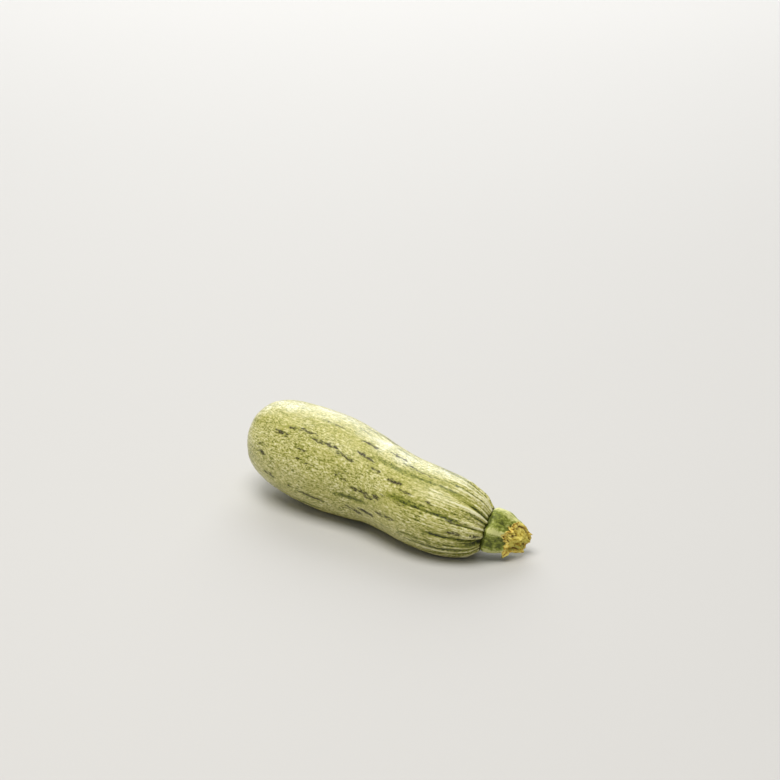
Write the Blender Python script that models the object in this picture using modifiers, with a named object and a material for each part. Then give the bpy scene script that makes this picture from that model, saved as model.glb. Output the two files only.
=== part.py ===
"""A zucchini of the pale, speckled kind, as picked: the fruit and its short ridged stem, lying on a surface.

Metres, +Z up. The zucchini lies along X, with the blossom end at -X and the stem at +X, and it rests on two
small flat spots. Its neck bends away towards +Y and down. Its shapes are turned round a straight axis first
and then moved to where they lie. Along that axis, distances start at the blossom end. Angles round it are
measured from +Y towards +Z.
"""

from math import atan2, cos, exp, hypot, pi, radians, sin

import bpy
from mathutils import Vector
from mathutils.geometry import interpolate_bezier

# Outline of the fruit, as distances along its axis and radii, from the blossom end to the shoulder.
FRUIT_OUTLINE = (
    (0.0012, 0.0000),
    (0.0001, 0.0045),
    (0.0038, 0.0140),
    (0.0134, 0.0250),
    (0.0320, 0.0305),
    (0.0700, 0.0329),
    (0.0930, 0.0307),
    (0.1120, 0.0279),
    (0.1310, 0.0271),
    (0.1560, 0.0274),
    (0.1730, 0.0267),
    (0.1850, 0.0238),
    (0.1945, 0.0181),
)
# The crown under the stem: a lip, then a shallow seat.
CROWN_OUTLINE = ((0.1975, 0.0143), (0.1975, 0.0129), (0.1962, 0.0121), (0.1960, 0.0000))
FRUIT_SPACING = 0.0050
FRUIT_SEGMENTS = 80

# Outline of the stem: the plug that sits in the seat, the flared foot, the tapering side and the torn end.
STEM_PLUG = ((0.1964, 0.0000), (0.1964, 0.0113), (0.1977, 0.0116))
STEM_OUTLINE = (
    (0.1979, 0.0124),
    (0.1985, 0.0141),
    (0.2018, 0.0144),
    (0.2084, 0.0137),
    (0.2138, 0.0117),
    (0.2180, 0.0098),
)
TORN_OUTLINE = ((0.2187, 0.0083), (0.2194, 0.0063), (0.2200, 0.0042), (0.2203, 0.0022), (0.2203, 0.0000))
STEM_SPACING = 0.0020
STEM_SEGMENTS = 60

# Where the axis lies: its heights over the two spots that the fruit rests on, how far it strays sideways
# and rises at the crown, and the bend of the neck.
WIDE_REST = 0.068
NARROW_REST = 0.160
WIDE_REST_RADIUS = 0.0329
NARROW_REST_RADIUS = 0.0275
SINK = 0.0006
SIDE_STRAY = ((0.000, -0.0002), (0.035, -0.0015), (0.100, 0.0020), (0.152, -0.0014), (0.190, 0.0014))
CROWN_RISE = ((0.176, 0.0000), (0.197, 0.0008), (0.213, 0.0020))
RISE_ANGLE = radians(60)
BEND_START = 0.150
BEND_END = 0.198
BEND = radians(33)
BEND_ANGLE = radians(-28)
BEND_STEP = 0.0005

# Ten furrows run down the fruit to the stem, deepest at the shoulder. They fade in between two radii
# at each end.
FURROWS = 10
FURROW_ANGLE = radians(150)
FURROW_DEPTH = 0.00022
SHOULDER_FURROW_DEPTH = 0.00110
SHOULDER_START = 0.150
SHOULDER_END = 0.194
LIP_FADE = (0.0130, 0.0165)
BLOSSOM_FADE = (0.0040, 0.0200)

# Five rounded ridges run along the stem and stand out more at its torn end.
RIDGES = 5
RIDGE_ANGLE = radians(150)
RIDGE_ROUNDNESS = 1.3
RIDGE_MEAN = 0.62
RIDGE_HEIGHT = 0.0017
TORN_RIDGE_HEIGHT = 0.0027

# Soft swellings of the fruit, and the slant and raggedness of the stem's torn end.
SWELLING = 0.00035
TORN_START = 0.2125
TORN_RADIUS = STEM_OUTLINE[-1][1]
TORN_SLANT = 0.0074
TORN_SLANT_ANGLE = radians(-13)
TORN_SLANT_START = 0.1990
RIM_WAVE = 0.0008
RIM_TEETH = 0.0006
RIM_TEETH_COUNT = 13
FLAP_ANGLE = radians(-120)
FLAP_WIDTH = radians(15)
FLAP_HEIGHT = 0.0044
PIT_DEPTH = 0.0005


def ease(value, start, end):
    """0 before start, 1 after end, and a smooth step between them."""
    t = min(max((value - start) / (end - start), 0.0), 1.0)
    return t * t * (3 - 2 * t)


def smooth_path(points, spacing, first_way, last_way):
    """Evenly spaced points on a smooth curve through the given ones, with the given ways at its ends."""
    points = [Vector(point) for point in points]
    ways = [Vector(first_way).normalized()]
    ways += [(after - before).normalized() for before, after in zip(points, points[2:])]
    ways.append(Vector(last_way).normalized())
    dense = [points[0]]
    for start, end, leave, arrive in zip(points, points[1:], ways, ways[1:]):
        reach = (end - start).length / 3
        dense += interpolate_bezier(start, start + leave * reach, end - arrive * reach, end, 40)[1:]
    travelled = [0.0]
    for start, end in zip(dense, dense[1:]):
        travelled.append(travelled[-1] + (end - start).length)
    steps = max(1, round(travelled[-1] / spacing))
    path = []
    for step in range(steps + 1):
        wanted = travelled[-1] * step / steps
        nearest = min(range(len(dense)), key=lambda i: abs(travelled[i] - wanted))
        path.append(tuple(dense[nearest]))
    return path


def between(stations, value):
    """The height of a smooth line through (distance, height) stations, level at both ends."""
    if value <= stations[0][0]:
        return stations[0][1]
    for (start, low), (end, high) in zip(stations, stations[1:]):
        if value <= end:
            return low + (high - low) * ease(value, start, end)
    return stations[-1][1]


def turned(name, outline, segments, collection):
    """An object turned round Z from an outline of (height, radius) points."""
    mesh = bpy.data.meshes.new(name)
    corners = [(radius, 0.0, along) for along, radius in reversed(outline)]
    mesh.from_pydata(corners, [(i, i + 1) for i in range(len(corners) - 1)], [])
    obj = bpy.data.objects.new(name, mesh)
    collection.objects.link(obj)
    screw = obj.modifiers.new("Turn", "SCREW")
    screw.steps = segments
    screw.render_steps = segments
    screw.use_merge_vertices = True
    screw.merge_threshold = 0.00001
    graph = bpy.context.evaluated_depsgraph_get()
    obj.data = bpy.data.meshes.new_from_object(obj.evaluated_get(graph))
    obj.data.name = name
    obj.modifiers.clear()
    bpy.data.meshes.remove(mesh)
    return obj


def bend(along):
    """How far the axis has turned at this distance from the blossom end."""
    return BEND * ease(along, BEND_START, BEND_END)


def axis_point(along):
    """Where the zucchini's axis is at this distance from the blossom end."""
    forward = min(along, BEND_START)
    aside = 0.0
    steps = max(0, round((along - BEND_START) / BEND_STEP))
    for step in range(steps):
        length = (along - BEND_START) / steps
        turned_so_far = bend(BEND_START + (step + 0.5) * length)
        forward += length * cos(turned_so_far)
        aside += length * sin(turned_so_far)
    slope = (NARROW_REST_RADIUS - WIDE_REST_RADIUS) / (NARROW_REST - WIDE_REST)
    height = WIDE_REST_RADIUS - SINK + slope * (forward - WIDE_REST)
    rise = between(CROWN_RISE, along) * outward(RISE_ANGLE)
    return Vector((forward, between(SIDE_STRAY, along), height)) + rise + aside * outward(BEND_ANGLE)


def bent_point(along, radius, angle):
    """The point at this distance, radius and angle once the neck is bent."""
    away = outward(angle)
    way = outward(BEND_ANGLE)
    share = away.dot(way)
    turned_by = bend(along)
    away += share * (cos(turned_by) - 1) * way - share * sin(turned_by) * Vector((1.0, 0.0, 0.0))
    return axis_point(along) + radius * away


def outward(angle):
    """The way out from the axis at this angle."""
    return Vector((0.0, cos(angle), sin(angle)))


def furrow(angle):
    """1 in the middle of a furrow and 0 between two."""
    return (0.5 + 0.5 * cos(FURROWS * (angle - FURROW_ANGLE))) ** 2


def fruit_point(along, radius, angle):
    """Where a point of the turned fruit lies."""
    shoulder = ease(along, SHOULDER_START, SHOULDER_END)
    depth = FURROW_DEPTH + (SHOULDER_FURROW_DEPTH - FURROW_DEPTH) * shoulder**2
    outside = ease(radius, *(LIP_FADE if along > NARROW_REST else BLOSSOM_FADE))
    swelling = sin(2 * angle + 38 * along) + sin(3 * angle - 61 * along + 1.3)
    radius += outside * (SWELLING * swelling / 2 * (1 - shoulder) - depth * furrow(angle))
    point = bent_point(along, radius, angle)
    point.z = max(point.z, 0.0)
    return point


def torn_rim(angle):
    """How far the torn rim stands out along the axis at this angle."""
    wave = sin(RIDGES * (angle - RIDGE_ANGLE) + 0.9) + 0.7 * sin(2 * angle + 0.4)
    teeth = sin(RIM_TEETH_COUNT * angle) * sin(5 * angle + 1.0)
    return RIM_WAVE * wave / 1.7 + RIM_TEETH * teeth


def flap(angle):
    """1 in the middle of the strip of skin that is torn outwards, and 0 away from it."""
    turn = (angle - FLAP_ANGLE + pi) % (2 * pi) - pi
    return exp(-((turn / FLAP_WIDTH) ** 2))


def stem_point(along, radius, angle):
    """Where a point of the turned stem lies."""
    reach = min(radius / TORN_RADIUS, 1.0)
    torn = ease(along, TORN_START, STEM_OUTLINE[-1][0])
    slanted = (along - TORN_SLANT_START) / (STEM_OUTLINE[-1][0] - TORN_SLANT_START)
    slanted = min(max(slanted, 0.0), 1.0) * radius / TORN_RADIUS
    face = torn * ease(reach, 1.0, 0.8) * ease(reach, 0.0, 0.3)
    pit = face * sin(7 * angle + 600 * radius) * sin(4 * angle)
    ridge = abs(cos(RIDGES / 2 * (angle - RIDGE_ANGLE))) ** RIDGE_ROUNDNESS
    height = RIDGE_HEIGHT + (TORN_RIDGE_HEIGHT - RIDGE_HEIGHT) * torn
    radius += height * (ridge - RIDGE_MEAN) * ease(along, STEM_PLUG[-1][0], STEM_OUTLINE[1][0]) * reach
    radius += FLAP_HEIGHT * flap(angle) * torn * reach**4
    along += TORN_SLANT * cos(angle - TORN_SLANT_ANGLE) * slanted
    along += torn * reach**3 * torn_rim(angle) - PIT_DEPTH * pit
    return bent_point(along, radius, angle)


def laid(obj, place):
    """Moves the turned object's points from its straight axis to where they lie."""
    for vertex in obj.data.vertices:
        across, up, along = vertex.co
        vertex.co = place(along, hypot(across, up), atan2(up, across))
    obj.data.shade_smooth()
    return obj


def skin(name, colour, roughness):
    material = bpy.data.materials.new(name)
    material.use_nodes = True
    shader = material.node_tree.nodes["Principled BSDF"]
    shader.inputs["Base Color"].default_value = (*colour, 1.0)
    shader.inputs["Roughness"].default_value = roughness
    shader.inputs["Metallic"].default_value = 0.0
    return material


def make_fruit(collection):
    outline = smooth_path(FRUIT_OUTLINE, FRUIT_SPACING, (-0.2, 1.0), (0.75, -1.0))
    fruit = laid(turned("fruit", outline + list(CROWN_OUTLINE), FRUIT_SEGMENTS, collection), fruit_point)
    fruit.data.materials.append(skin("fruit_skin", (0.47, 0.54, 0.19), 0.38))
    return fruit


def make_stem(collection):
    side = smooth_path(STEM_OUTLINE, STEM_SPACING, (0.2, 1.0), (0.5, -1.0))
    outline = list(STEM_PLUG) + side + list(TORN_OUTLINE)
    stem = laid(turned("stem", outline, STEM_SEGMENTS, collection), stem_point)
    stem.data.materials.append(skin("stem_skin", (0.24, 0.36, 0.10), 0.50))
    return stem


def centred(objects):
    """Moves the objects so that X and Y are zero in the middle of their common box."""
    corners = [vertex.co for obj in objects for vertex in obj.data.vertices]
    middle = Vector(
        (
            (min(corner.x for corner in corners) + max(corner.x for corner in corners)) / 2,
            (min(corner.y for corner in corners) + max(corner.y for corner in corners)) / 2,
            0.0,
        )
    )
    for obj in objects:
        obj.location = -middle


def main():
    for obj in list(bpy.data.objects):
        bpy.data.objects.remove(obj)
    collection = bpy.data.collections.new("zucchini")
    bpy.context.scene.collection.children.link(collection)
    centred([make_fruit(collection), make_stem(collection)])


main()
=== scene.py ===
# A pale, speckled zucchini as picked, lying on its side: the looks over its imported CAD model.

from math import cos, pi, radians, sin

import bpy
import numpy as np
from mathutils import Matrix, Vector, noise
from mathutils.geometry import interpolate_bezier


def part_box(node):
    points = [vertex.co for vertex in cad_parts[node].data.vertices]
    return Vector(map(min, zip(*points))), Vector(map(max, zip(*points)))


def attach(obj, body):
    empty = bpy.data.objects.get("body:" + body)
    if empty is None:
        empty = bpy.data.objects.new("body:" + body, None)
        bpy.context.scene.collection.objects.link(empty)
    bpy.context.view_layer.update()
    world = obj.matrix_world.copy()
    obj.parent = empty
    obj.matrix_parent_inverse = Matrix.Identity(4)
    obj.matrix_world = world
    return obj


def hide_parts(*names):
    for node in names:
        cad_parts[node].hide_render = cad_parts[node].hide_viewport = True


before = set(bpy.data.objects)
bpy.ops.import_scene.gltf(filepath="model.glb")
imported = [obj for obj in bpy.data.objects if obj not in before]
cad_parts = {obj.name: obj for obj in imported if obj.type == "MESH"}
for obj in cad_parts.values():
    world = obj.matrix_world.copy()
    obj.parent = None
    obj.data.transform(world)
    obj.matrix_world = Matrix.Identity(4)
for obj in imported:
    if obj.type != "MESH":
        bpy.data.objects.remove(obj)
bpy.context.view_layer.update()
bpy.ops.object.select_all(action="DESELECT")

# How the zucchini lies: the heights of its axis over the two spots it rests on, how far it strays
# sideways and rises at the crown, and the bend of its neck. Distances run along the axis from the
# blossom end, and angles round it are measured from +Y towards +Z.
lie = {
    "wideRest": 0.068,
    "narrowRest": 0.160,
    "wideRestRadius": 0.0329,
    "narrowRestRadius": 0.0275,
    "sink": 0.0006,
    "sideStray": ((0.000, -0.0002), (0.035, -0.0015), (0.100, 0.0020), (0.152, -0.0014), (0.190, 0.0014)),
    "crownRise": ((0.176, 0.0000), (0.197, 0.0008), (0.213, 0.0020)),
    "riseAngle": radians(60),
    "bendStart": 0.150,
    "bendEnd": 0.198,
    "bend": radians(33),
    "bendAngle": radians(-28),
    "axisLength": 0.26,
    "axisSteps": 2600,
}


def easeStep(value, start, end):  # 0 before start, 1 after end, and a smooth step between them
    t = np.clip((value - start) / (end - start), 0.0, 1.0)
    return t * t * (3 - 2 * t)


def between(stations, value):  # a smooth line through (distance, height) stations
    height = np.full_like(value, stations[0][1])
    for (start, low), (end, high) in zip(stations, stations[1:]):
        height += (high - low) * easeStep(value, start, end)
    return height


def bent(along, radius, angle):  # from the straight axis to where the zucchini lies
    travelled = np.linspace(0.0, lie["axisLength"], lie["axisSteps"] + 1)
    step = lie["axisLength"] / lie["axisSteps"]
    turns = lie["bend"] * easeStep(travelled, lie["bendStart"], lie["bendEnd"])
    halfway = (turns[1:] + turns[:-1]) / 2
    forwards = np.concatenate([[0.0], np.cumsum(np.cos(halfway) * step)])
    asides = np.concatenate([[0.0], np.cumsum(np.sin(halfway) * step)])
    forward = np.interp(along, travelled, forwards)
    aside = np.interp(along, travelled, asides)
    turned = lie["bend"] * easeStep(along, lie["bendStart"], lie["bendEnd"])
    slope = (lie["narrowRestRadius"] - lie["wideRestRadius"]) / (lie["narrowRest"] - lie["wideRest"])
    height = lie["wideRestRadius"] - lie["sink"] + slope * (forward - lie["wideRest"])
    rise = between(lie["crownRise"], along)
    wayAcross = cos(lie["bendAngle"])
    wayUp = sin(lie["bendAngle"])
    share = np.cos(angle) * wayAcross + np.sin(angle) * wayUp
    lean = share * (np.cos(turned) - 1)
    across = between(lie["sideStray"], along) + rise * cos(lie["riseAngle"]) + aside * wayAcross
    up = height + rise * sin(lie["riseAngle"]) + aside * wayUp
    across += radius * (np.cos(angle) + lean * wayAcross)
    up += radius * (np.sin(angle) + lean * wayUp)
    return np.stack([forward - radius * share * np.sin(turned), across, up], axis=1)


def smoothPath(points, spacing, firstWay, lastWay, curveSteps=60):  # evenly spaced points on a smooth curve
    points = [Vector(point) for point in points]
    ways = [Vector(firstWay).normalized()]
    ways += [(after - before).normalized() for before, after in zip(points, points[2:])]
    ways.append(Vector(lastWay).normalized())
    dense = [points[0]]
    for start, end, leave, arrive in zip(points, points[1:], ways, ways[1:]):
        reach = (end - start).length / 3
        dense += interpolate_bezier(start, start + leave * reach, end - arrive * reach, end, curveSteps)[1:]
    dense = np.array(dense)
    travelled = np.concatenate([[0.0], np.cumsum(np.linalg.norm(np.diff(dense, axis=0), axis=1))])
    wanted = np.linspace(0.0, travelled[-1], max(1, round(travelled[-1] / spacing)) + 1)
    path = [np.interp(wanted, travelled, dense[:, column]) for column in (0, 1)]
    return [(float(along), float(radius)) for along, radius in zip(*path)]


def pulledRings(name, outline, sides, levels):
    # a circle is pulled along the outline ring by ring, closed to a point at both ends, and smoothed
    rings = [point for point in outline if point[1] > 1e-6]
    bpy.ops.object.select_all(action="DESELECT")
    bpy.ops.mesh.primitive_circle_add(
        vertices=sides, radius=rings[0][1], location=(rings[0][0], 0, 0), rotation=(0, pi / 2, 0)
    )
    shape = bpy.context.object
    shape.name = name
    bpy.ops.object.transform_apply(location=True, rotation=True, scale=True)
    bpy.ops.object.mode_set(mode="EDIT")
    bpy.ops.mesh.select_all(action="SELECT")
    for (along, radius), (nextAlong, nextRadius) in zip(rings, rings[1:]):
        bpy.ops.mesh.extrude_region_move(TRANSFORM_OT_translate={"value": (nextAlong - along, 0, 0)})
        ratio = nextRadius / radius
        bpy.ops.transform.resize(value=(1, ratio, ratio), center_override=(nextAlong, 0, 0))
    closeRing(outline[-1][0] - rings[-1][0])
    bpy.ops.mesh.select_all(action="DESELECT")
    bpy.ops.object.mode_set(mode="OBJECT")
    for vertex in shape.data.vertices:
        away = (vertex.co.y**2 + vertex.co.z**2) ** 0.5
        vertex.select = abs(vertex.co.x - rings[0][0]) < 1e-6 and abs(away - rings[0][1]) < 1e-6
    bpy.ops.object.mode_set(mode="EDIT")
    closeRing(outline[0][0] - rings[0][0])
    bpy.ops.mesh.select_all(action="SELECT")
    bpy.ops.mesh.normals_make_consistent(inside=False)
    bpy.ops.object.mode_set(mode="OBJECT")
    bpy.ops.object.modifier_add(type="SUBSURF")
    shape.modifiers[0].levels = levels
    shape.modifiers[0].render_levels = levels
    bpy.ops.object.modifier_apply(modifier=shape.modifiers[0].name)
    bpy.ops.object.shade_smooth()
    return shape


def closeRing(step):  # the selected ring is pulled once more and drawn together into one point
    bpy.ops.mesh.extrude_region_move(TRANSFORM_OT_translate={"value": (step, 0, 0)})
    bpy.ops.mesh.merge(type="CENTER")


def straightPoints(shape):  # distance, radius and angle of every point of the straight shape
    places = np.empty(len(shape.data.vertices) * 3)
    shape.data.vertices.foreach_get("co", places)
    along, across, up = places.reshape(-1, 3).T
    return along, np.hypot(across, up), np.arctan2(up, across)


def putPoints(shape, places):
    shape.data.vertices.foreach_set("co", places.astype(np.float32).ravel())
    shape.data.update()


def keepValues(shape, name, values):  # numbers that the material reads at every point
    kind = "FLOAT" if values.ndim == 1 else "FLOAT_VECTOR"
    stored = shape.data.attributes.new(name, kind, "POINT")
    stored.data.foreach_set("value" if values.ndim == 1 else "vector", values.astype(np.float32).ravel())


def lumpiness(places, grain, octaves=2):  # soft random lumps, from about -1 to 1
    return np.array([noise.fractal(Vector(place) / grain, 0.8, 2.1, octaves) for place in places])


# Fruit: the shape

fruitShape = {
    "outline": (
        (0.0012, 0.0000),
        (0.0001, 0.0045),
        (0.0038, 0.0140),
        (0.0134, 0.0250),
        (0.0320, 0.0305),
        (0.0700, 0.0329),
        (0.0930, 0.0307),
        (0.1120, 0.0279),
        (0.1310, 0.0271),
        (0.1560, 0.0274),
        (0.1730, 0.0267),
        (0.1850, 0.0238),
        (0.1945, 0.0181),
    ),
    "crown": ((0.1975, 0.0143), (0.1975, 0.0129), (0.1962, 0.0121), (0.1960, 0.0000)),
    "spacing": 0.0042,
    "sides": 64,
    "furrows": 10,
    "furrowAngle": radians(150),
    "furrowDepth": 0.00022,
    "shoulderFurrowDepth": 0.00110,
    "shoulder": (0.150, 0.194),
    "lipFade": (0.0119, 0.0134),
    "blossomFade": (0.0040, 0.0200),
    "swelling": 0.00035,
    "stripeDepth": 0.00080,
    "crownDrop": 0.0011,
    "crownDropAngle": radians(70),
    "crownDropStart": (0.178, 0.191),
    "crownDropFade": (0.0138, 0.0172),
    "lobeMiddle": 0.1915,
    "lobeWidth": 0.0036,
    "lobeSwell": 0.00015,
    "lobeStretch": 0.00060,
    "lipReach": 0.0013,
    "lipRise": (0.0122, 0.0136),
    "lipFall": (0.0140, 0.0185),
    "lipStart": 0.19,
    "dents": 0.00030,
    "dentGrain": 0.012,
    "blossomEnd": 0.01,
    "scarRadius": 0.0046,
    "scarRim": 0.00045,
    "scarRimWidth": 0.0008,
    "scarTip": 0.0009,
    "scarTipWidth": 0.0014,
    "scarSpokes": 10,
    "spokeHeight": 0.00018,
    "spokeFade": (0.0008, 0.0025),
    "corkHeight": 0.00035,
    "corkGrain": 0.0011,
}


def fruitPlaces(along, radius, angle):
    shape = fruitShape
    shoulder = easeStep(along, *shape["shoulder"])
    depth = shape["furrowDepth"] + (shape["shoulderFurrowDepth"] - shape["furrowDepth"]) * shoulder**2
    furrow = (0.5 + 0.5 * np.cos(shape["furrows"] * (angle - shape["furrowAngle"]))) ** 2
    nearStem = easeStep(radius, *shape["lipFade"])
    nearBlossom = easeStep(radius, *shape["blossomFade"])
    outside = np.where(along > lie["narrowRest"], nearStem, nearBlossom)
    swelling = np.sin(2 * angle + 38 * along) + np.sin(3 * angle - 61 * along + 1.3)
    radius = radius + outside * (shape["swelling"] * swelling / 2 * (1 - shoulder) - depth * furrow)
    stripes = stripeField(along, radius, angle)
    radius = radius - outside * shoulder**3 * shape["stripeDepth"] * stripes

    # the top of the crown is flatter, and lobes swell between its furrows and green stripes
    drop = (0.5 + 0.5 * np.cos(angle - shape["crownDropAngle"])) ** 3
    drop = drop * easeStep(along, *shape["crownDropStart"])
    radius = radius - shape["crownDrop"] * drop * easeStep(radius, *shape["crownDropFade"])
    green = np.maximum(stripes, 0.0)
    nearLobe = np.exp(-(((along - shape["lobeMiddle"]) / shape["lobeWidth"]) ** 2))
    puff = nearLobe * outside * (0.75 - furrow - 0.45 * green)
    radius = radius + shape["lobeSwell"] * puff
    along = along + shape["lobeStretch"] * puff
    atLip = easeStep(radius, *shape["lipRise"]) * (1 - easeStep(radius, *shape["lipFall"]))
    atLip = atLip * (along > shape["lipStart"])
    along = along + atLip * shape["lipReach"] * (0.6 - furrow - 0.5 * green)
    return bent(along, radius, angle), outside, stripes


def makeFruit():
    shape = fruitShape
    path = smoothPath(shape["outline"], shape["spacing"], (-0.2, 1.0), (0.75, -1.0))
    fruit = pulledRings("fruitBody", path + list(shape["crown"]), shape["sides"], 2)
    along, radius, angle = straightPoints(fruit)
    places, outside, stripes = fruitPlaces(along, radius, angle)
    straight = np.stack([along, radius * np.cos(angle), radius * np.sin(angle)], axis=1)
    out = np.stack([np.zeros_like(along), np.cos(angle), np.sin(angle)], axis=1)
    dents = lumpiness(straight * (0.5, 1.0, 1.0), shape["dentGrain"])
    places += out * (outside * shape["dents"] * dents)[:, None]

    # the blossom scar: a raised rim and tip, twisted spokes between them, and rough cork
    atBlossom = along < shape["blossomEnd"]
    scar = (1 - easeStep(radius, shape["scarRadius"] * 0.7, shape["scarRadius"] * 1.2)) * atBlossom
    rim = np.exp(-(((radius - shape["scarRadius"]) / shape["scarRimWidth"]) ** 2)) * atBlossom
    tip = np.exp(-((radius / shape["scarTipWidth"]) ** 2)) * atBlossom
    spokes = np.cos(shape["scarSpokes"] * angle + 4 * radius / shape["scarRadius"])
    spokes = spokes * scar * easeStep(radius, *shape["spokeFade"])
    places[:, 0] -= rim * shape["scarRim"] + tip * shape["scarTip"] + spokes * shape["spokeHeight"]
    places[:, 0] -= scar * shape["corkHeight"] * np.clip(lumpiness(straight, shape["corkGrain"]), -1, 1)

    places[:, 2] = np.maximum(places[:, 2], 0.0)
    putPoints(fruit, places)
    keepValues(fruit, "lengthways", straight)
    keepValues(fruit, "dashes", dashField(along, radius, angle))
    keepValues(fruit, "stripes", stripes)
    return fruit


# Fruit: the marks on its skin, by distance in millimetres and angle in degrees

fruitMarks = {
    # start and end of each dash along the fruit, its angle at both ends, and its thickness in millimetres
    "dashes": (
        (36, 44, 194, 195, 2.1),
        (58, 60, 198, 198, 1.4),
        (69, 86, 200, 205, 1.5),
        (105, 112, 201, 203, 1.4),
        (110, 118, 205, 205, 1.8),
        (117, 129, 196, 196, 2.3),
        (132, 150, 185, 185, 1.7),
        (31, 36, 168, 171, 2.2),
        (110, 125, 169, 167, 1.9),
        (130, 136, 165, 165, 2.1),
        (96, 105, 160, 163, 0.6),
        (40, 47, 138, 138, 1.8),
        (49, 51, 138, 138, 1.3),
        (49, 59, 128, 127, 1.3),
        (57, 72, 124, 126, 1.0),
        (70, 80, 130, 132, 1.5),
        (80, 90, 130, 130, 1.4),
        (92, 105, 134, 136, 1.2),
        (118, 128, 132, 132, 1.2),
        (138, 149, 134, 133, 2.1),
        (106, 120, 121, 122, 1.9),
        (101, 114, 103, 100, 1.1),
        (124, 139, 93, 93, 1.3),
        (180, 185, 174, 174, 1.2),
        (191, 196, 173, 173, 1.2),
        (168, 171, 143, 144, 0.9),
        (150, 159, 158, 158, 0.4),
        (136, 145, 157, 156, 0.4),
        (65, 77, 159, 161, 0.2),
        (30, 38, 160, 159, 0.2),
        (96, 106, 156, 157, 0.1),
        (151, 158, 139, 141, 0.6),
        (180, 185, 158, 158, 0.1),
        (106, 114, 196, 202, 0.5),
        (100, 108, 205, 206, 0.4),
        (90, 97, 84, 85, 0.6),
        (67, 84, 101, 101, 0.1),
        (140, 148, 100, 100, 0.3),
        (150, 162, 101, 103, 0.1),
        (62, 70, 148, 148, 0.1),
        (118, 132, 172, 171, 0.1),
    ),
    "rows": 10,
    "rowAngle": 133,
    "shownAngles": (86, 212),
    "seed": 7,
    # start and end of each stripe, its angle at both ends, its width, and its strength: green above 0,
    # cream below
    "stripes": (
        (92, 123, 186, 182, 2.5, 1.6),
        (114, 182, 115, 112, 3.0, 0.9),
        (180, 204, 108, 110, 2.0, 0.7),
        (138, 182, 152, 154, 2.6, 1.2),
        (173, 204, 152, 165, 1.7, 1.4),
        (166, 204, 183, 188, 2.0, 2.4),
        (181, 204, 191, 194, 1.5, 1.6),
        (150, 204, 198, 196, 2.4, 1.0),
        (158, 204, 208, 208, 2.6, 1.4),
        (186, 204, 169, 170, 1.6, 1.0),
        (180, 204, 141, 151, 1.2, 0.9),
        (185, 204, 136, 143, 1.5, 1.2),
        (180, 204, 118, 130, 2.2, 2.1),
        (168, 204, 97, 101, 1.4, 0.6),
        (165, 204, 84, 86, 1.6, 0.5),
        (176, 204, 187, 190, 1.4, -0.8),
        (183, 204, 176, 179, 1.8, -0.7),
        (186, 204, 167, 173, 1.4, -0.8),
        (180, 204, 149, 158, 1.7, -1.1),
        (184, 204, 144, 147, 1.4, -0.9),
        (176, 204, 126, 137, 2.4, -1.2),
        (182, 204, 113, 119, 1.8, -1.0),
        (172, 204, 103, 105, 2.0, -0.9),
        (165, 204, 90, 93, 2.4, -1.1),
        (168, 204, 77, 79, 2.4, -0.9),
    ),
    "crown": 204,
    # what the seeded dashes and stripes of the hidden side are drawn from, in the same units
    "hiddenDashStart": (22, 55),
    "hiddenDashEnd": 174,
    "hiddenDashSpread": 4.5,
    "hiddenDashThickness": (-0.7, 0.9),
    "secondDashChance": 0.35,
    "hiddenStripeStart": (150, 186),
    "hiddenStripeWidth": (1.5, 2.8),
    "hiddenGreen": (0.9, 1.6),
    "hiddenCream": (-1.1, -0.6),
    "hiddenStripeGap": 9.0,
    "hiddenLongStripes": 9,
    "longStripeStart": (50, 130),
    "longStripeLength": (18, 40),
    "longStripeWidth": 2.4,
}


def strokeTurn(along, angle, stroke):  # how far round from the stroke's line, and how far along it
    start, end, startAngle, endAngle = stroke[:4]
    t = np.clip((along * 1000 - start) / (end - start), 0.0, 1.0)
    turn = angle - np.radians(startAngle + (endAngle - startAngle) * t)
    return (turn + pi) % (2 * pi) - pi, t


def strokeField(along, radius, angle, strokes):  # millimetres inside the nearest dash, minus outside
    field = np.full_like(along, -4.0)
    for stroke in strokes:
        start, end, thickness = stroke[0], stroke[1], stroke[4]
        turn, t = strokeTurn(along, angle, stroke)
        beyond = along * 1000 - (start + (end - start) * t)
        away = np.hypot(beyond * 0.6, turn * radius * 1000)
        slim = 0.55 + 0.45 * np.sin(pi * t) ** 0.5
        field = np.maximum(field, thickness / 2 * slim - away)
    return field


def dashField(along, radius, angle):  # the dashes of the shown side, and seeded rows on the hidden one
    marks = fruitMarks
    chance = np.random.default_rng(marks["seed"])
    strokes = list(marks["dashes"])
    low, high = marks["shownAngles"]
    for row in range(marks["rows"]):
        rowAngle = (marks["rowAngle"] + row * 360 / marks["rows"]) % 360
        start = chance.uniform(*marks["hiddenDashStart"])
        while start < marks["hiddenDashEnd"]:
            length = 3 + chance.gamma(2.0, 3.6)
            dashAngle = rowAngle + chance.normal(0, marks["hiddenDashSpread"])
            thickness = min(length * 0.14, 1.1) + chance.uniform(*marks["hiddenDashThickness"])
            second = chance.uniform(4, 7)
            if not low < dashAngle < high:
                endAngle = dashAngle + chance.normal(0, 2)
                strokes.append((start, start + length, dashAngle, endAngle, thickness))
                if chance.uniform() < marks["secondDashChance"]:
                    near = start + chance.uniform(-3, 5)
                    nearAngle = dashAngle + second
                    strokes.append((near, near + length * 0.8, nearAngle, nearAngle, thickness * 0.5))
            start += length + chance.gamma(1.6, 10)
    return strokeField(along, radius, angle, strokes)


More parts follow.
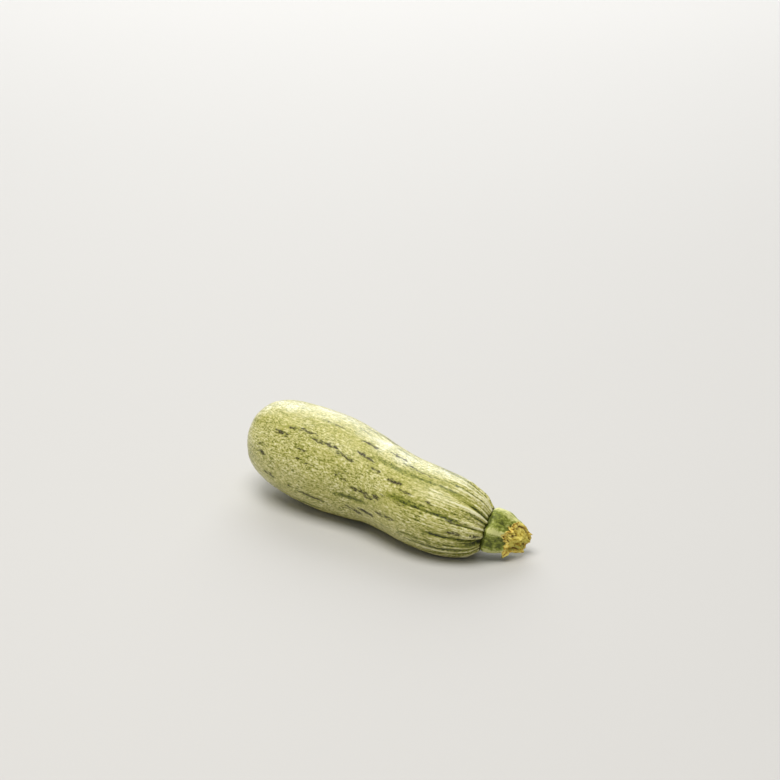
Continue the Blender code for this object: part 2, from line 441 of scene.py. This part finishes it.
def stripeField(along, radius, angle):  # green and cream stripes, from about 2 to about -1
    marks = fruitMarks
    chance = np.random.default_rng(marks["seed"] + 1)
    strokes = list(marks["stripes"])
    low, high = marks["shownAngles"]
    stripeAngle = high + 3
    sign = -1
    while stripeAngle < low + 354:
        start = chance.uniform(*marks["hiddenStripeStart"])
        width = chance.uniform(*marks["hiddenStripeWidth"])
        strength = chance.uniform(*marks["hiddenGreen" if sign > 0 else "hiddenCream"])
        endAngle = stripeAngle + chance.normal(0, 3)
        strokes.append((start, marks["crown"], stripeAngle, endAngle, width, strength))
        stripeAngle += marks["hiddenStripeGap"] * chance.uniform(0.7, 1.3)
        sign = -sign
    for _ in range(marks["hiddenLongStripes"]):
        start = chance.uniform(*marks["longStripeStart"])
        stripeAngle = chance.uniform(high + 4, low + 352)
        end = start + chance.uniform(*marks["longStripeLength"])
        strokes.append((start, end, stripeAngle, stripeAngle + 3, marks["longStripeWidth"], 1.0))
    field = np.zeros_like(along)
    for stroke in strokes:
        turn, _ = strokeTurn(along, angle, stroke)
        fade = easeStep(along * 1000, stroke[0] - 2, stroke[0] + 10)
        if stroke[1] < marks["crown"]:
            fade = fade * (1 - easeStep(along * 1000, stroke[1] - 6, stroke[1] + 4))
        field += stroke[5] * fade * np.exp(-((turn * radius * 1000 / (stroke[4] * 0.55)) ** 2))
    return field


# Materials


class Strand:  # one socket of a material's nodes, with sums that add their own Math nodes
    def __init__(self, tree, socket=None):
        self.tree = tree
        self.socket = socket

    def node(self, kind, settings=None, inputs=None, output=0):
        made = self.tree.nodes.new(kind)
        for name, value in (settings or {}).items():
            if name == "stops":
                for position, colour in value[: len(value) - 2]:
                    made.color_ramp.elements.new(position)
                for element, (position, colour) in zip(made.color_ramp.elements, value):
                    element.position = position
                    element.color = (*colour, 1.0)
            else:
                setattr(made, name, value)
        for name, value in (inputs or {}).items():
            if isinstance(value, Strand):
                self.tree.links.new(value.socket, made.inputs[name])
            else:
                made.inputs[name].default_value = value
        return Strand(self.tree, made.outputs[output])

    def maths(self, operation, first, second):
        return self.node("ShaderNodeMath", {"operation": operation}, {0: first, 1: second})

    def __add__(self, other):
        return self.maths("ADD", self, other)

    def __radd__(self, other):
        return self.maths("ADD", other, self)

    def __sub__(self, other):
        return self.maths("SUBTRACT", self, other)

    def __rsub__(self, other):
        return self.maths("SUBTRACT", other, self)

    def __mul__(self, other):
        return self.maths("MULTIPLY", self, other)

    def __rmul__(self, other):
        return self.maths("MULTIPLY", other, self)

    def __pow__(self, other):
        return self.maths("POWER", self, other)

    def eased(self, start, end):  # 0 before start, 1 after end, and a smooth step between them
        span = {"Value": self, "From Min": start, "From Max": end}
        return self.node("ShaderNodeMapRange", {"interpolation_type": "SMOOTHSTEP"}, span)

    def mixed(self, first, second):  # from the first colour to the second, by this value
        return self.node("ShaderNodeMix", {"data_type": "RGBA"}, {0: self, 6: first, 7: second}, output=2)

    def stretched(self, x, y, z):  # a point's own numbers, each by its factor
        return self.node("ShaderNodeVectorMath", {"operation": "MULTIPLY"}, {0: self, 1: (x, y, z)})

    def speckle(self, grain, detail=2.0, roughness=0.5):  # noise whose spots are about this size in metres
        sizes = {"Vector": self, "Scale": 1 / grain, "Detail": detail, "Roughness": roughness}
        return self.node("ShaderNodeTexNoise", {}, sizes)


def newMaterial(name):
    material = bpy.data.materials.new(name)
    material.use_nodes = True
    return material, Strand(material.node_tree), material.node_tree.nodes["Principled BSDF"]


def plug(material, shader, name, strand):
    material.node_tree.links.new(strand.socket, shader.inputs[name])


def rgb(colour):
    return (*colour, 1.0)


fruitLook = {
    # the darkest green of the skin, also the colour of the painted shade round the stem's foot
    "darkestGreenAndShade": (0.020, 0.024, 0.002),
    "deepGreen": (0.085, 0.104, 0.008),
    "green": (0.258, 0.272, 0.036),
    "pale": (0.482, 0.450, 0.122),
    "cream": (0.668, 0.628, 0.280),
    "brightCream": (0.805, 0.780, 0.490),
    "stripe": (0.235, 0.246, 0.012),
    "dash": (0.026, 0.019, 0.001),
    "scar": (0.270, 0.185, 0.085),
    "scarCrack": (0.075, 0.045, 0.018),
    "scarPale": (0.480, 0.400, 0.220),
    "fleckGrain": 0.0010,
    "fleckStretch": 0.45,
    "spotGap": 0.0024,
    "streakGrain": 0.0015,
    "streakStretch": 0.035,
    "ringRadius": 0.030,
    "patchGrain": 0.014,
    "calmGrain": 0.024,
    "roughness": 0.28,
    "gloss": 0.38,
    "wax": 0.08,
    "waxRoughness": 0.24,
    "bloom": 0.75,
    "bloomGrain": 0.0075,
    "skinBump": 0.00018,
    "bumpStrength": 0.6,
    "fleckContrast": 1.05,
    "fineFleckContrast": 0.90,
    "spotStrength": 0.19,
    "streakStrength": 0.25,
    "shoulderStreaks": 1.35,
    "patchStrength": 0.18,
    "shoulder": (0.140, 0.193),
    "blossomEnd": (0.004, 0.034),
    "dashGrain": 0.0012,
    "dashRaggedness": 5.5,
    "dashFineRaggedness": 3.0,
    "dashBreaks": 0.48,
    "dashHalo": 0.45,
    "corkGrain": 0.0009,
    # where painted shade darkens the skin round the stem's foot, and how strongly
    "lipShadeBand": (0.0136, 0.0156),
    "lipShadeStrength": 0.75,
}


def fruitMaterial():
    look = fruitLook
    material, wire, shader = newMaterial("speckledSkin")
    straight = wire.node("ShaderNodeAttribute", {"attribute_name": "lengthways"}, output="Vector")
    dashes = wire.node("ShaderNodeAttribute", {"attribute_name": "dashes"}, output="Fac")
    stripes = wire.node("ShaderNodeAttribute", {"attribute_name": "stripes"}, output="Fac")
    along = wire.node("ShaderNodeSeparateXYZ", {}, {0: straight}, output="X")
    outwards = straight.stretched(0, 1, 1)
    away = wire.node("ShaderNodeVectorMath", {"operation": "LENGTH"}, {0: outwards}, output=1)
    ringed = wire.node("ShaderNodeVectorMath", {"operation": "NORMALIZE"}, {0: outwards})
    ringPart = ringed.stretched(0, look["ringRadius"], look["ringRadius"])
    lengthPart = straight.stretched(look["streakStretch"], 0, 0)
    ringPoint = wire.node("ShaderNodeVectorMath", {"operation": "ADD"}, {0: ringPart, 1: lengthPart})
    shoulder = along.eased(*look["shoulder"])

    # cream flecks on green, drawn out into stripes that run together at the stem
    fleckPoint = straight.stretched(look["fleckStretch"], 1, 1)
    fleck = fleckPoint.speckle(look["fleckGrain"], 3.0, 0.62)
    fineFleck = fleckPoint.speckle(look["fleckGrain"] * 0.45, 2.0, 0.6)
    spot = fleckPoint.node("ShaderNodeTexVoronoi", {}, {"Vector": fleckPoint, "Scale": 1 / look["spotGap"]})
    spot = 1 - (spot + (fineFleck - 0.5) * 0.9).eased(0.10, 0.42)
    patch = straight.stretched(0.5, 1, 1).speckle(look["patchGrain"], 2.0, 0.5)
    streak = ringPoint.speckle(look["streakGrain"], 3.0, 0.65)
    calm = straight.stretched(0.6, 1, 1).speckle(look["calmGrain"], 1.0, 0.5)
    busy = 0.70 + 0.55 * calm.eased(0.38, 0.62)
    flecks = (fleck - 0.5) * look["fleckContrast"] + (fineFleck - 0.5) * look["fineFleckContrast"]
    tone = 0.48 + flecks * busy + spot * look["spotStrength"]
    tone = tone + (streak - 0.5) * (look["streakStrength"] + look["shoulderStreaks"] * shoulder)
    tone = tone + (patch - 0.5) * look["patchStrength"]
    # the slight lightening towards the crown's end is a painted highlight on the lobe ends
    tone = tone - stripes * (0.18 + 0.12 * fleck) + 0.04 * along.eased(0.180, 0.193)
    blossomEnd = 1 - along.eased(*look["blossomEnd"])
    tone = tone + blossomEnd * ((streak - 0.5) * 0.8 + 0.04)
    tone = tone + (1 - away.eased(0.0050, 0.0100)) * blossomEnd * 0.10

    stops = (
        (0.02, look["darkestGreenAndShade"]),
        (0.18, look["deepGreen"]),
        (0.36, look["green"]),
        (0.50, look["pale"]),
        (0.64, look["cream"]),
        (0.82, look["brightCream"]),
    )
    skin = wire.node("ShaderNodeValToRGB", {"stops": stops}, {"Fac": tone})
    skin = (stripes.eased(0.3, 1.3) * tone.eased(0.12, 0.30) * 0.40).mixed(skin, rgb(look["stripe"]))

    # ragged dark dashes, broken up by the fine flecks
    stroke = straight.stretched(0.35, 1, 1).speckle(look["dashGrain"], 2.0, 0.6)
    ragged = dashes + 0.10 + (stroke - 0.5) * look["dashRaggedness"]
    ragged = ragged + (fineFleck - 0.5) * look["dashFineRaggedness"]
    colour = (ragged.eased(-1.1, 0.0) * look["dashHalo"]).mixed(skin, rgb(look["green"]))
    dash = ragged.eased(-0.35, 0.30) * (1 - look["dashBreaks"] * fineFleck.eased(0.51, 0.60))
    colour = dash.mixed(colour, rgb(look["dash"]))

    # cork on the blossom scar, and painted shade darkening the skin round the stem's foot
    nearTip = 1 - along.eased(0.004, 0.006)
    scarEdge = away + (fleckPoint.speckle(0.0012, 2.0, 0.6) - 0.5) * 0.003
    scar = (1 - scarEdge.eased(0.0038, 0.0050)) * nearTip
    corkStops = ((0.36, look["scarCrack"]), (0.48, look["scar"]), (0.62, look["scarPale"]))
    corkSpots = straight.speckle(look["corkGrain"], 3.0, 0.65)
    cork = wire.node("ShaderNodeValToRGB", {"stops": corkStops}, {"Fac": corkSpots})
    colour = scar.mixed(colour, cork)
    # painted shade: the skin round the stem's foot is blended towards the darkest green
    atLip = (1 - away.eased(*look["lipShadeBand"])) * along.eased(0.1925, 0.1955) * look["lipShadeStrength"]
    colour = atLip.mixed(colour, rgb(look["darkestGreenAndShade"]))

    plug(material, shader, "Base Color", colour)
    dull = 0.25 * scar + 0.20 * dash + 0.12 * stripes.eased(0.4, 1.2)
    plug(material, shader, "Roughness", look["roughness"] + 0.10 * (1 - fleck) + dull)
    relief = tone.eased(0.1, 0.9) * 0.5 + fineFleck * 0.4 + scar * fleck
    raised = {"Strength": look["bumpStrength"], "Distance": look["skinBump"], "Height": relief}
    plug(material, shader, "Normal", wire.node("ShaderNodeBump", {}, raised))
    shader.inputs["Specular IOR Level"].default_value = look["gloss"]

    # a little wax all over, and patches of it on the upper side, hardly any on dashes and green stripes
    bloom = straight.stretched(0.45, 1, 1).speckle(look["bloomGrain"], 3.0, 0.6)
    height = wire.node("ShaderNodeSeparateXYZ", {}, {0: straight}, output="Z")
    waxed = bloom.eased(0.46, 0.62) * height.eased(0.0, 0.016)
    waxed = waxed * (1 - dash) * (1 - 0.85 * stripes.eased(0.2, 0.9))
    plug(material, shader, "Coat Weight", look["wax"] + look["bloom"] * waxed)
    shader.inputs["Coat Roughness"].default_value = look["waxRoughness"]
    return material


# Stem: the shape

stemShape = {
    "plug": ((0.1964, 0.0000), (0.1964, 0.0113), (0.1972, 0.0119)),
    "outline": (
        (0.1979, 0.0124),
        (0.1985, 0.0141),
        (0.2018, 0.0144),
        (0.2084, 0.0137),
        (0.2138, 0.0117),
        (0.2180, 0.0098),
    ),
    "tornFace": ((0.2187, 0.0083), (0.2194, 0.0063), (0.2200, 0.0042), (0.2203, 0.0022), (0.2203, 0.0000)),
    "foot": (0.1977, 0.1985),
    "spacing": 0.0013,
    "sides": 60,
    "ridges": 5,
    "ridgeAngle": radians(150),
    "ridgeRoundness": 1.3,
    "ridgeMean": 0.62,
    # the angles at which ridges are moved round, by how much, and how wide a stretch moves with them
    "ridgeShifts": ((radians(122), radians(9)), (radians(-6), radians(-21))),
    "ridgeShiftWidth": 0.5,
    "ridgeHeight": 0.0017,
    "tornRidgeHeight": 0.0027,
    "tornStart": 0.2125,
    "tornSlant": 0.0074,
    "tornSlantAngle": radians(-21),
    "tornSlantStart": 0.1990,
    "rimWave": 0.0008,
    "rimTeeth": 0.0006,
    "rimTeethCount": 13,
    "toothGroups": 5,
    "flapAngle": radians(-120),
    "flapWidth": radians(18),
    "flapHeight": 0.0052,
    "flapSetback": 0.0027,
    "setbackWidth": radians(28),
    "topAngle": radians(65),
    "topSwell": 0.0009,
    "topSwellRise": (0.1985, 0.2010),
    "topSwellFall": (0.2080, 0.2150),
    "faceStart": 0.2165,
    "faceRadius": 0.0098,
    "faceFade": (-0.0002, 0.0010),
    "pitDepth": 0.0022,
    "pitGrain": 0.0036,
    "fibreDepth": 0.0008,
    "fibreGrain": 0.0012,
    "crustHeight": 0.0009,
    "crustSpread": 0.0004,
    "crustInset": 0.0008,
    "crustWidth": 0.0006,
    "trenchDepth": 0.0011,
    "trenchInset": 0.0025,
    "trenchWidth": 0.0008,
    "trenchAngle": radians(20),
    "skinRipple": 0.00028,
    "rippleGrain": 0.0022,
    "rippleStart": (0.199, 0.203),
    "rippleStretch": 0.12,
    "ringRadius": 0.013,
    "tornMarkStart": 0.2060,
    "tornMarkEnd": 0.2180,
}


def stemPlaces(along, radius, angle):
    shape = stemShape
    tornEnd = shape["outline"][-1][0]
    tornRadius = shape["outline"][-1][1]
    reach = np.minimum(radius / tornRadius, 1.0)
    torn = easeStep(along, shape["tornStart"], tornEnd)
    slanted = np.clip((along - shape["tornSlantStart"]) / (tornEnd - shape["tornSlantStart"]), 0.0, 1.0)
    slanted = slanted * radius / tornRadius
    shifted = angle
    for centre, shift in shape["ridgeShifts"]:
        turn = (angle - centre + pi) % (2 * pi) - pi
        shifted = shifted - shift * np.exp(-((turn / shape["ridgeShiftWidth"]) ** 2))
    ridge = np.abs(np.cos(shape["ridges"] / 2 * (shifted - shape["ridgeAngle"]))) ** shape["ridgeRoundness"]
    height = shape["ridgeHeight"] + (shape["tornRidgeHeight"] - shape["ridgeHeight"]) * torn
    radius = radius + height * (ridge - shape["ridgeMean"]) * easeStep(along, *shape["foot"]) * reach
    top = (0.5 + 0.5 * np.cos(angle - shape["topAngle"])) ** 3
    top = top * easeStep(along, *shape["topSwellRise"]) * (1 - easeStep(along, *shape["topSwellFall"]))
    radius = radius + shape["topSwell"] * top * reach
    turn = (angle - shape["flapAngle"] + pi) % (2 * pi) - pi
    flap = np.exp(-(np.abs(turn / shape["flapWidth"]) ** 1.5))
    setback = np.exp(-((turn / shape["setbackWidth"]) ** 2))
    radius = radius + shape["flapHeight"] * flap * torn**2 * reach**9
    wave = np.sin(shape["ridges"] * (angle - shape["ridgeAngle"]) + 3.3) + 0.7 * np.sin(2 * angle + 0.4)
    teeth = np.sin(shape["rimTeethCount"] * angle + 3.4) * np.sin(shape["toothGroups"] * angle + 3.2)
    rim = shape["rimWave"] * wave / 1.7 + shape["rimTeeth"] * teeth
    along = along + shape["tornSlant"] * np.cos(angle - shape["tornSlantAngle"]) * slanted
    along = along - shape["flapSetback"] * setback * torn * reach**2
    return along + torn * reach**3 * rim, radius, ridge, reach


def makeStem():
    shape = stemShape
    side = smoothPath(shape["outline"], shape["spacing"], (0.2, 1.0), (0.5, -1.0))
    facePoints = (shape["outline"][-1],) + shape["tornFace"]
    end = smoothPath(facePoints, shape["spacing"], (0.5, -1.0), (0.0, -1.0))
    stem = pulledRings("stemBody", list(shape["plug"]) + side + end[1:], shape["sides"], 2)
    along, radius, angle = straightPoints(stem)
    straight = np.stack([along, radius * np.cos(angle), radius * np.sin(angle)], axis=1)
    ringAcross = shape["ringRadius"] * np.cos(angle)
    ringUp = shape["ringRadius"] * np.sin(angle)
    ringed = np.stack([along * shape["rippleStretch"], ringAcross, ringUp], axis=1)
    laidAlong, laidRadius, ridge, reach = stemPlaces(along, radius, angle)
    ripple = lumpiness(ringed, shape["rippleGrain"]) * easeStep(along, *shape["rippleStart"]) * reach
    laidRadius += shape["skinRipple"] * ripple

    # the torn face: pits and fibres, a raised crust round its rim, and a trench inside the crust
    atFace = along > shape["faceStart"]
    inside = shape["faceRadius"] - radius
    onFace = easeStep(inside, *shape["faceFade"]) * atFace
    coarse = lumpiness(straight * (0.4, 1.0, 1.0), shape["pitGrain"])
    fine = lumpiness(straight * (0.4, 1.0, 1.0), shape["fibreGrain"])
    crust = np.exp(-(((inside - shape["crustInset"]) / shape["crustWidth"]) ** 2)) * atFace
    trench = np.exp(-(((inside - shape["trenchInset"]) / shape["trenchWidth"]) ** 2)) * atFace
    laidAlong += onFace * (shape["fibreDepth"] * fine + shape["pitDepth"] * np.clip(coarse, -1.0, 0.5))
    laidAlong += crust * shape["crustHeight"] * np.clip(0.5 + 0.7 * fine + 0.9 * coarse, -0.4, 1.1)
    nearSide = 0.5 - 0.5 * np.cos(angle - shape["trenchAngle"])
    laidAlong -= trench * shape["trenchDepth"] * (0.4 + nearSide)
    laidRadius += crust * shape["crustSpread"] * coarse
    putPoints(stem, bent(laidAlong, laidRadius, angle))
    keepValues(stem, "lengthways", straight)
    keepValues(stem, "ridge", ridge)
    keepValues(stem, "pits", onFace * np.clip(-coarse - 0.3 * fine, 0.0, 1.0))

    # roughly how many millimetres a point lies inside the torn rim, below 0 on the rind
    torn = np.where(along > shape["tornMarkStart"], inside, -0.004) * 1000
    keepValues(stem, "torn", torn + (along - shape["tornMarkEnd"]) * 300)
    return stem


stemLook = {
    "groove": (0.085, 0.104, 0.010),
    "green": (0.250, 0.290, 0.036),
    # the palest rind, reached mostly along the painted highlight on the ridge crests
    "ridge": (0.640, 0.645, 0.250),
    "flesh": (0.560, 0.420, 0.040),
    "paleFlesh": (0.930, 0.800, 0.190),
    "greenFlesh": (0.430, 0.430, 0.075),
    "brown": (0.150, 0.068, 0.008),
    "crust": (0.640, 0.380, 0.035),
    "roughness": 0.50,
    "gloss": 0.35,
    "bump": 0.0003,
    "bumpStrength": 0.7,
    "streakGrain": 0.0013,
    "mottleGrain": 0.0030,
    "fibreGrain": 0.0012,
    # strength of the painted highlight along each ridge's crest
    "paintedCrestHighlight": 0.52,
    "streakStrength": 1.1,
    "mottleStrength": 1.2,
    "footShade": 0.30,
    "lowGreen": 0.8,
    "pitBrown": 0.8,
}


def stemMaterial():
    look = stemLook
    material, wire, shader = newMaterial("stemRind")
    straight = wire.node("ShaderNodeAttribute", {"attribute_name": "lengthways"}, output="Vector")
    ridge = wire.node("ShaderNodeAttribute", {"attribute_name": "ridge"}, output="Fac")
    torn = wire.node("ShaderNodeAttribute", {"attribute_name": "torn"}, output="Fac")
    pits = wire.node("ShaderNodeAttribute", {"attribute_name": "pits"}, output="Fac")
    along = wire.node("ShaderNodeSeparateXYZ", {}, {0: straight}, output="X")
    streak = straight.stretched(0.15, 1, 1).speckle(look["streakGrain"], 3.0, 0.6)
    mottle = straight.speckle(look["mottleGrain"], 3.0, 0.55)
    fibre = straight.speckle(look["fibreGrain"], 3.0, 0.65)

    # rind: a little paler along the ridges and green between them, with a painted highlight along each
    # ridge's crest, and painted shade darkening it at the foot
    tone = ridge * 0.20 + ridge**9 * look["paintedCrestHighlight"] + (streak - 0.5) * look["streakStrength"]
    tone = tone + (mottle - 0.5) * look["mottleStrength"] + 0.23
    tone = tone - (1 - along.eased(0.1985, 0.2012)) * look["footShade"]
    stops = ((0.12, look["groove"]), (0.42, look["green"]), (0.80, look["ridge"]))
    rind = wire.node("ShaderNodeValToRGB", {"stops": stops}, {"Fac": tone})

    # torn face: flesh, greener low down, inside a rim of dry crust, with brown in its trench and pits
    faceStops = ((0.35, look["brown"]), (0.43, look["flesh"]), (0.54, look["paleFlesh"]))
    flesh = wire.node("ShaderNodeValToRGB", {"stops": faceStops}, {"Fac": fibre * 0.6 + mottle * 0.4})
    height = wire.node("ShaderNodeSeparateXYZ", {}, {0: straight}, output="Z")
    low = (1 - (height + (mottle - 0.5) * 0.012).eased(-0.0050, 0.0030)) * mottle.eased(0.42, 0.52)
    flesh = (low * look["lowGreen"]).mixed(flesh, rgb(look["greenFlesh"]))
    crustStops = ((0.32, look["brown"]), (0.44, look["crust"]), (0.56, look["paleFlesh"]))
    crust = wire.node("ShaderNodeValToRGB", {"stops": crustStops}, {"Fac": fibre})
    edge = torn + (mottle - 0.5) * 3.2 + (streak - 0.5) * 2.6
    outer = edge.eased(-0.8, -0.3)
    inner = edge.eased(1.1, 2.2)
    colour = outer.mixed(rind, crust)
    colour = inner.mixed(colour, flesh)
    trench = torn.eased(1.4, 2.3) * (1 - torn.eased(2.7, 3.6)) * mottle.eased(0.40, 0.62)
    colour = trench.mixed(colour, rgb(look["brown"]))
    pitted = (pits + (fibre - 0.5) * 0.8).eased(0.28, 0.62) * look["pitBrown"]
    colour = pitted.mixed(colour, rgb(look["brown"]))
    plug(material, shader, "Base Color", colour)
    plug(material, shader, "Roughness", look["roughness"] + 0.25 * inner + 0.1 * (1 - streak))
    relief = streak * 0.5 + mottle * 0.3 + inner * fibre
    raised = {"Strength": look["bumpStrength"], "Distance": look["bump"], "Height": relief}
    plug(material, shader, "Normal", wire.node("ShaderNodeBump", {}, raised))
    shader.inputs["Specular IOR Level"].default_value = look["gloss"]
    return material


# The pieces in place

fruit = makeFruit()
fruit.data.materials.append(fruitMaterial())
print("fruit made:", len(fruit.data.polygons), "faces")

stem = makeStem()
stem.data.materials.append(stemMaterial())
print("stem made:", len(stem.data.polygons), "faces")

cadLow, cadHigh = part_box("fruit")
corners = np.empty(len(fruit.data.vertices) * 3)
fruit.data.vertices.foreach_get("co", corners)
corners = corners.reshape(-1, 3)
shiftAlong = (cadLow.x + cadHigh.x - corners[:, 0].min() - corners[:, 0].max()) / 2
shiftAcross = (cadLow.y + cadHigh.y - corners[:, 1].min() - corners[:, 1].max()) / 2
print("moved by", round(shiftAlong, 5), round(shiftAcross, 5))
for piece, node in ((fruit, "fruit"), (stem, "stem")):
    bpy.ops.object.select_all(action="DESELECT")
    piece.select_set(True)
    bpy.context.view_layer.objects.active = piece
    piece.location = (shiftAlong, shiftAcross, 0)
    bpy.ops.object.transform_apply(location=True, rotation=True, scale=True)
    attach(piece, "root")
    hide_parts(node)
print("pieces placed")


# Floor, light and camera

stage = {
    "floorSize": 14.0,
    "floorColour": (0.55, 0.54, 0.52),
    "aimedAt": (0, 0, 0.03),
    "keyPlace": (-1.20, 1.26, 1.03),
    "keySize": 1.7,
    "keyPower": 29,
    "keyColour": (0.96, 0.975, 1.0),
    "fillPlace": (0.15, -0.60, 2.10),
    "fillSize": 1.4,
    "fillPower": 42,
    "fillColour": (1.0, 0.99, 0.97),
    "worldColour": (1.0, 0.99, 0.96),
    "worldStrength": 0.34,
    "cameraPlace": (1.6461, -1.7161, 1.0835),
    "cameraTurn": (radians(67.43), 0, radians(43.604)),
    "cameraLens": 182.08,
}


def aimed(location, target):
    return (Vector(target) - Vector(location)).to_track_quat("-Z", "Y").to_euler()


def softLight(name, location, size, power, colour):
    bpy.ops.object.light_add(type="AREA", location=location, rotation=aimed(location, stage["aimedAt"]))
    light = bpy.context.object
    light.name = name
    light.data.size = size
    light.data.energy = power
    light.data.color = colour
    light.visible_camera = False


bpy.ops.mesh.primitive_plane_add(size=stage["floorSize"], location=(0, 0, 0))
floor = bpy.context.object
floor.name = "floor"
material, wire, shader = newMaterial("palePlaster")
place = wire.node("ShaderNodeTexCoord", {}, output="Object")
lighter = [part * 1.03 for part in stage["floorColour"]]
shade = place.speckle(0.6, 2.0, 0.5).mixed(rgb(stage["floorColour"]), rgb(lighter))
plug(material, shader, "Base Color", shade)
shader.inputs["Roughness"].default_value = 0.9
floor.data.materials.append(material)

softLight("softboxBehind", stage["keyPlace"], stage["keySize"], stage["keyPower"], stage["keyColour"])
softLight("softboxAbove", stage["fillPlace"], stage["fillSize"], stage["fillPower"], stage["fillColour"])

world = bpy.data.worlds.new("studio")
bpy.context.scene.world = world
world.use_nodes = True
background = world.node_tree.nodes["Background"]
background.inputs["Color"].default_value = rgb(stage["worldColour"])
background.inputs["Strength"].default_value = stage["worldStrength"]

bpy.ops.object.camera_add(location=stage["cameraPlace"], rotation=stage["cameraTurn"])
camera = bpy.context.object
camera.data.sensor_width = 36
camera.data.lens = stage["cameraLens"]
bpy.context.scene.camera = camera
bpy.context.scene.view_settings.view_transform = "Standard"
print("stage set")
